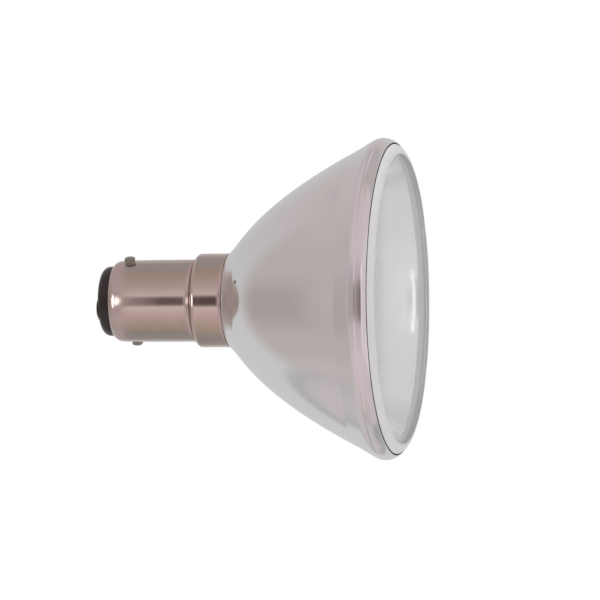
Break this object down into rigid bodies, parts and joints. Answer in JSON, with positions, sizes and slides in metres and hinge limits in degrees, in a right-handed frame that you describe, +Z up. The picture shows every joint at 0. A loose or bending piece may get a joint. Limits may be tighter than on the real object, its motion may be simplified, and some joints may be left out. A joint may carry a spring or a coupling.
{
  "type": "halogen reflector bulb",
  "caption": "Low-voltage halogen reflector bulb with a pinned bayonet cap, a parabolic aluminium dish, a rolled rim round the front glass and a quartz capsule at the focus.",
  "frame": {"origin": "on the lamp axis, in the plane of the bayonet pins", "axes": "+X along the lamp axis, the way the light leaves; +Z up; the bayonet pins lean 20 degrees from Z towards -Y"},
  "size_m": [0.0563, 0.0586, 0.0586],
  "materials": {
    "nickel_plated_brass": "nickel plated, bright drawn",
    "black_insulator_glass": "opaque black, glossy",
    "tinned_brass": "tinned, satin",
    "soft_solder": "dull solder",
    "polished_aluminium": "spun and polished",
    "front_glass": "clear, pressed",
    "fused_quartz": "clear, flame worked",
    "lamp_cement": "matt, fired",
    "tungsten_wire": "coiled wire, dull grey",
    "molybdenum": "drawn, satin grey"
  },
  "bodies": {
    "root": {"cap_shell": "nickel_plated_brass", "bayonet_pin_upper": "nickel_plated_brass", "bayonet_pin_lower": "nickel_plated_brass", "insulator": "black_insulator_glass", "contact_eyelet_near": "tinned_brass", "contact_eyelet_far": "tinned_brass", "solder_tip_near": "soft_solder", "solder_tip_far": "soft_solder", "reflector": "polished_aluminium", "front_glass": "front_glass", "capsule_envelope": "fused_quartz", "capsule_cement": "lamp_cement", "filament": "tungsten_wire", "filament_post_near": "molybdenum", "filament_post_far": "molybdenum", "sealing_foil_near": "molybdenum", "sealing_foil_far": "molybdenum", "lead_wire_near": "molybdenum", "lead_wire_far": "molybdenum"}
  },
  "joints": []
}
